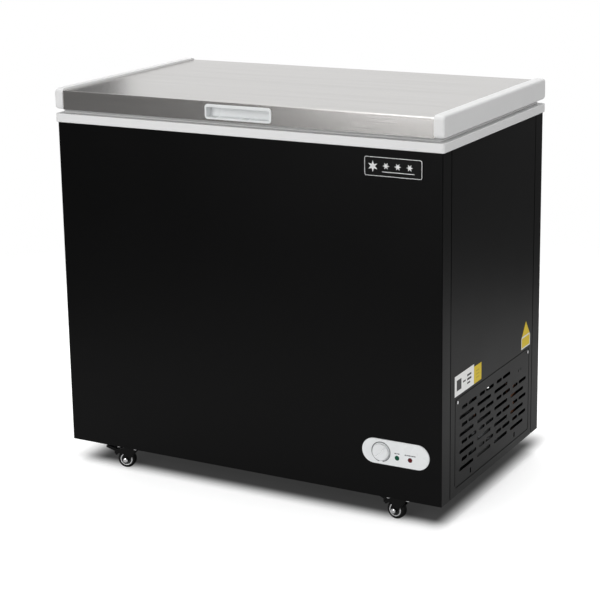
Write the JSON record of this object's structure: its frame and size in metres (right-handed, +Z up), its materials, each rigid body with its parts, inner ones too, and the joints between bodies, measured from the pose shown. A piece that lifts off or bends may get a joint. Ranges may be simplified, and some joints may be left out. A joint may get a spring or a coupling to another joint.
{
  "type": "chest freezer",
  "caption": "Free-standing chest freezer with a steel cabinet, a spring-hinged steel lid, a hanging basket and swivel casters.",
  "frame": {"origin": "on the floor, under the centre of the whole freezer's box", "axes": "+X along the length to the compressor's end, +Y to the back, +Z up"},
  "size_m": [0.913, 0.558, 0.85],
  "materials": {
    "black_steel": "satin powder coat",
    "zinc_steel": "zinc plated",
    "galvanised_steel": "galvanised",
    "black_enamel": "gloss enamel",
    "black_rubber": "matte",
    "black_plastic": "matte",
    "copper_tube": "drawn copper",
    "bare_aluminium": "drawn",
    "foam": "rigid foam",
    "liner_aluminium": "white-coated embossed",
    "white_plastic": "satin",
    "white_gloss": "gloss",
    "knob_plastic": "gloss",
    "green_lens": "clear gloss",
    "red_lens": "clear gloss",
    "badge_black": "gloss, silver rim",
    "white_label": "satin film",
    "yellow_label": "satin film",
    "hinge_steel": "white enamel",
    "spring_steel": "oiled",
    "brushed_steel": "brushed along the length",
    "grey_seal": "soft matte",
    "caster_steel": "black satin",
    "wheel_rubber": "rubber tyre on a plated hub"
  },
  "bodies": {
    "cabinet": {"front_panel": "black_steel", "rear_panel": "black_steel", "left_side_panel": "black_steel", "right_side_panel": "black_steel", "vent_grille": "black_steel", "panel_screws": "zinc_steel", "base_plate": "galvanised_steel", "bay_partition": "galvanised_steel", "compressor_tray": "galvanised_steel", "rail_left": "galvanised_steel", "rail_right": "galvanised_steel", "compressor": "black_enamel", "compressor_mounts": "black_rubber", "start_relay": "black_plastic", "filter_drier": "copper_tube", "discharge_pipe": "copper_tube", "suction_pipe": "copper_tube", "condenser_coil": "copper_tube", "evaporator_coil": "bare_aluminium", "cabinet_foam": "foam", "inner_liner": "liner_aluminium", "top_collar": "white_plastic", "control_bezel": "white_gloss", "thermostat": "black_plastic", "green_lamp": "green_lens", "red_lamp": "red_lens", "badge": "badge_black", "rating_label": "white_label", "class_label": "yellow_label", "caution_label": "yellow_label", "cord_gland": "black_plastic", "drain_tube": "white_plastic", "hinge_base_left": "hinge_steel", "hinge_base_right": "hinge_steel", "hinge_pins": "zinc_steel", "hinge_springs": "spring_steel", "caster_plates": "caster_steel", "caster_bolts": "zinc_steel"},
    "lid": {"lid_skin": "brushed_steel", "lid_cap_left": "white_plastic", "lid_cap_right": "white_plastic", "lid_foam": "foam", "lid_liner": "white_plastic", "lid_gasket": "grey_seal", "lid_handle": "white_gloss", "hinge_arm_left": "hinge_steel", "hinge_arm_right": "hinge_steel"},
    "knob": {"thermostat_knob": "knob_plastic"},
    "plug": {"drain_plug": "black_rubber"},
    "basket": {"basket": "white_gloss"},
    "caster_fl": {"caster_fork_fl": "caster_steel"},
    "wheel_fl": {"caster_wheel_fl": "wheel_rubber"},
    "caster_fr": {"caster_fork_fr": "caster_steel"},
    "wheel_fr": {"caster_wheel_fr": "wheel_rubber"},
    "caster_rl": {"caster_fork_rl": "caster_steel"},
    "wheel_rl": {"caster_wheel_rl": "wheel_rubber"},
    "caster_rr": {"caster_fork_rr": "caster_steel"},
    "wheel_rr": {"caster_wheel_rr": "wheel_rubber"},
    "brake_fl": {"caster_brake_fl": "caster_steel"},
    "brake_fr": {"caster_brake_fr": "caster_steel"}
  },
  "joints": [
    {"name": "lid_hinge", "type": "hinge", "parent": "cabinet", "child": "lid", "pos_m": [0, 0.273, 0.805], "axis": [-1, 0, 0], "range_deg": [0, 85], "stiffness_Nm_per_rad": 5.4, "springref_deg": 84.8},
    {"name": "thermostat_turn", "type": "hinge", "parent": "cabinet", "child": "knob", "pos_m": [0.3195, -0.272, 0.153], "axis": [0, 1, 0], "range_deg": [-45, 225]},
    {"name": "basket_slide", "type": "slide", "parent": "cabinet", "child": "basket", "axis": [1, 0, 0], "range_m": [-0.5, 0.008]},
    {"name": "drain_plug_pull", "type": "slide", "parent": "cabinet", "child": "plug", "axis": [0, 0, 1], "range_m": [0, 0.05]},
    {"name": "swivel_front_left", "type": "hinge", "parent": "cabinet", "child": "caster_fl", "pos_m": [-0.3125, -0.238, 0.0482], "axis": [0, 0, 1], "continuous": true},
    {"name": "wheel_front_left", "type": "hinge", "parent": "caster_fl", "child": "wheel_fl", "pos_m": [-0.32602, -0.24162, 0.02], "axis": [-0.2588, 0.9659, 0], "continuous": true},
    {"name": "swivel_front_right", "type": "hinge", "parent": "cabinet", "child": "caster_fr", "pos_m": [0.3525, -0.238, 0.0482], "axis": [0, 0, 1], "continuous": true},
    {"name": "wheel_front_right", "type": "hinge", "parent": "caster_fr", "child": "wheel_fr", "pos_m": [0.33864, -0.23605, 0.02], "axis": [0.1392, 0.9903, 0], "continuous": true},
    {"name": "swivel_rear_left", "type": "hinge", "parent": "cabinet", "child": "caster_rl", "pos_m": [-0.3125, 0.226, 0.0482], "axis": [0, 0, 1], "continuous": true},
    {"name": "wheel_rear_left", "type": "hinge", "parent": "caster_rl", "child": "wheel_rl", "pos_m": [-0.30658, 0.23869, 0.02], "axis": [0.9063, -0.4226, 0], "continuous": true},
    {"name": "swivel_rear_right", "type": "hinge", "parent": "cabinet", "child": "caster_rr", "pos_m": [0.3525, 0.226, 0.0482], "axis": [0, 0, 1], "continuous": true},
    {"name": "wheel_rear_right", "type": "hinge", "parent": "caster_rr", "child": "wheel_rr", "pos_m": [0.3435, 0.23672, 0.02], "axis": [0.766, 0.6428, 0], "continuous": true},
    {"name": "brake_front_left", "type": "hinge", "parent": "caster_fl", "child": "brake_fl", "pos_m": [-0.34727, -0.24732, 0.037], "axis": [0.2588, -0.9659, 0], "range_deg": [0, 8]},
    {"name": "brake_front_right", "type": "hinge", "parent": "caster_fr", "child": "brake_fr", "pos_m": [0.31685, -0.23299, 0.037], "axis": [-0.1392, -0.9903, 0], "range_deg": [0, 8]}
  ]
}
